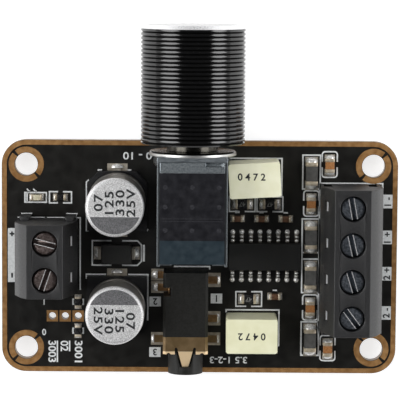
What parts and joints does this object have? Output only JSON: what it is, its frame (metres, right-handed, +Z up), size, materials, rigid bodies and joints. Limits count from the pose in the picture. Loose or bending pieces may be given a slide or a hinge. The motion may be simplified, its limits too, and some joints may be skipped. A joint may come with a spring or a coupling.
{
  "type": "audio amplifier board",
  "caption": "Small stereo audio amplifier circuit board with a ribbed volume knob, screw terminals for power and speakers, an audio input socket and soldered parts.",
  "frame": {"origin": "middle of the four mounting holes, on the underside of the board", "axes": "+Z up from the board's component side, -Y towards the volume knob, +X towards the power terminal"},
  "size_m": [0.055, 0.0487, 0.0166],
  "materials": {
    "solder_mask": "satin black solder mask on glass epoxy",
    "black_anodised_aluminium": "glossy black anodised, turned ribs",
    "black_plastic": "moulded, satin",
    "switch_plastic": "moulded, satin",
    "terminal_plastic": "moulded, fine matte grain",
    "bracket_steel": "plated sheet",
    "zinc_casting": "plated casting",
    "nickel_plate": "bright plating",
    "tinned_metal": "bright tin",
    "screw_steel": "dark zinc plating",
    "brass": "aged brass sheet",
    "can_aluminium": "brushed can",
    "film_case": "cream moulded case",
    "phenolic": "resistor wafer",
    "nylon": "moulded",
    "chip_epoxy": "fine matte grain",
    "ferrite": "fired ceramic",
    "capacitor_ceramic": "fired ceramic",
    "resistor_glaze": "black glaze",
    "indicator_lens": "clear pale resin",
    "solder": "bright solder"
  },
  "bodies": {
    "board": {"circuit_board": "solder_mask", "pot_bracket": "bracket_steel", "pot_bushing": "nickel_plate", "pot_front_casting": "zinc_casting", "pot_front_housing": "black_plastic", "pot_rear_housing": "black_plastic", "pot_switch_housing": "switch_plastic", "pot_front_wafer": "phenolic", "pot_rear_wafer": "phenolic", "pot_terminals": "tinned_metal", "jack_housing": "black_plastic", "jack_ground_clip": "brass", "jack_contact_1": "brass", "jack_contact_2": "brass", "jack_contact_3": "brass", "jack_contact_4": "brass", "power_terminal_housing": "terminal_plastic", "power_busbars": "tinned_metal", "speaker_terminal_housing": "terminal_plastic", "speaker_busbars": "tinned_metal", "electrolytic_can_1": "can_aluminium", "electrolytic_can_2": "can_aluminium", "electrolytic_base_1": "black_plastic", "electrolytic_base_2": "black_plastic", "electrolytic_leads": "tinned_metal", "film_capacitor_1": "film_case", "film_capacitor_2": "film_case", "film_capacitor_leads": "tinned_metal", "amplifier_chip": "chip_epoxy", "amplifier_chip_leads": "tinned_metal", "diode_body": "chip_epoxy", "diode_leads": "tinned_metal", "ferrite_beads": "ferrite", "output_capacitors": "capacitor_ceramic", "signal_capacitors": "capacitor_ceramic", "large_resistors": "resistor_glaze", "small_resistors": "resistor_glaze", "indicator_led": "indicator_lens", "chip_end_caps": "tinned_metal", "solder_fillets": "solder", "solder_joints": "solder"},
    "volume_control": {"knob_shell": "black_anodised_aluminium", "knob_core": "black_plastic", "pot_shaft": "nickel_plate", "pot_front_rotor": "nylon", "pot_rear_rotor": "nylon"},
    "turning_power_screw_1": {"power_screw_1": "screw_steel"},
    "rising_power_clamp_1": {"power_clamp_1": "tinned_metal"},
    "turning_power_screw_2": {"power_screw_2": "screw_steel"},
    "rising_power_clamp_2": {"power_clamp_2": "tinned_metal"},
    "turning_speaker_screw_1": {"speaker_screw_1": "screw_steel"},
    "rising_speaker_clamp_1": {"speaker_clamp_1": "tinned_metal"},
    "turning_speaker_screw_2": {"speaker_screw_2": "screw_steel"},
    "rising_speaker_clamp_2": {"speaker_clamp_2": "tinned_metal"},
    "turning_speaker_screw_3": {"speaker_screw_3": "screw_steel"},
    "rising_speaker_clamp_3": {"speaker_clamp_3": "tinned_metal"},
    "turning_speaker_screw_4": {"speaker_screw_4": "screw_steel"},
    "rising_speaker_clamp_4": {"speaker_clamp_4": "tinned_metal"}
  },
  "joints": [
    {"name": "volume_turn", "type": "hinge", "parent": "board", "child": "volume_control", "pos_m": [0.001, -0.0148, 0.0081], "axis": [0, 1, 0], "range_deg": [0, 300]},
    {"name": "power_screw_1_turn", "type": "hinge", "parent": "board", "child": "turning_power_screw_1", "pos_m": [0.02095, -0.00285, 0.0093], "axis": [0, 0, -1], "range_deg": [0, 1441]},
    {"name": "power_clamp_1_rise", "type": "slide", "parent": "board", "child": "rising_power_clamp_1", "axis": [0, 0, 1], "range_m": [0, 0.0018]},
    {"name": "power_screw_2_turn", "type": "hinge", "parent": "board", "child": "turning_power_screw_2", "pos_m": [0.02095, 0.00215, 0.0093], "axis": [0, 0, -1], "range_deg": [0, 1441]},
    {"name": "power_clamp_2_rise", "type": "slide", "parent": "board", "child": "rising_power_clamp_2", "axis": [0, 0, 1], "range_m": [0, 0.0018]},
    {"name": "speaker_screw_1_turn", "type": "hinge", "parent": "board", "child": "turning_speaker_screw_1", "pos_m": [-0.02075, -0.00785, 0.0093], "axis": [0, 0, -1], "range_deg": [0, 1441]},
    {"name": "speaker_clamp_1_rise", "type": "slide", "parent": "board", "child": "rising_speaker_clamp_1", "axis": [0, 0, 1], "range_m": [0, 0.0018]},
    {"name": "speaker_screw_2_turn", "type": "hinge", "parent": "board", "child": "turning_speaker_screw_2", "pos_m": [-0.02075, -0.00285, 0.0093], "axis": [0, 0, -1], "range_deg": [0, 1441]},
    {"name": "speaker_clamp_2_rise", "type": "slide", "parent": "board", "child": "rising_speaker_clamp_2", "axis": [0, 0, 1], "range_m": [0, 0.0018]},
    {"name": "speaker_screw_3_turn", "type": "hinge", "parent": "board", "child": "turning_speaker_screw_3", "pos_m": [-0.02075, 0.00215, 0.0093], "axis": [0, 0, -1], "range_deg": [0, 1441]},
    {"name": "speaker_clamp_3_rise", "type": "slide", "parent": "board", "child": "rising_speaker_clamp_3", "axis": [0, 0, 1], "range_m": [0, 0.0018]},
    {"name": "speaker_screw_4_turn", "type": "hinge", "parent": "board", "child": "turning_speaker_screw_4", "pos_m": [-0.02075, 0.00715, 0.0093], "axis": [0, 0, -1], "range_deg": [0, 1441]},
    {"name": "speaker_clamp_4_rise", "type": "slide", "parent": "board", "child": "rising_speaker_clamp_4", "axis": [0, 0, 1], "range_m": [0, 0.0018]}
  ],
  "couplings": [
    {"joint": "power_screw_1_turn", "follows": "power_clamp_1_rise", "rad_per_m": 13963},
    {"joint": "power_screw_2_turn", "follows": "power_clamp_2_rise", "rad_per_m": 13963},
    {"joint": "speaker_screw_1_turn", "follows": "speaker_clamp_1_rise", "rad_per_m": 13963},
    {"joint": "speaker_screw_2_turn", "follows": "speaker_clamp_2_rise", "rad_per_m": 13963},
    {"joint": "speaker_screw_3_turn", "follows": "speaker_clamp_3_rise", "rad_per_m": 13963},
    {"joint": "speaker_screw_4_turn", "follows": "speaker_clamp_4_rise", "rad_per_m": 13963}
  ]
}
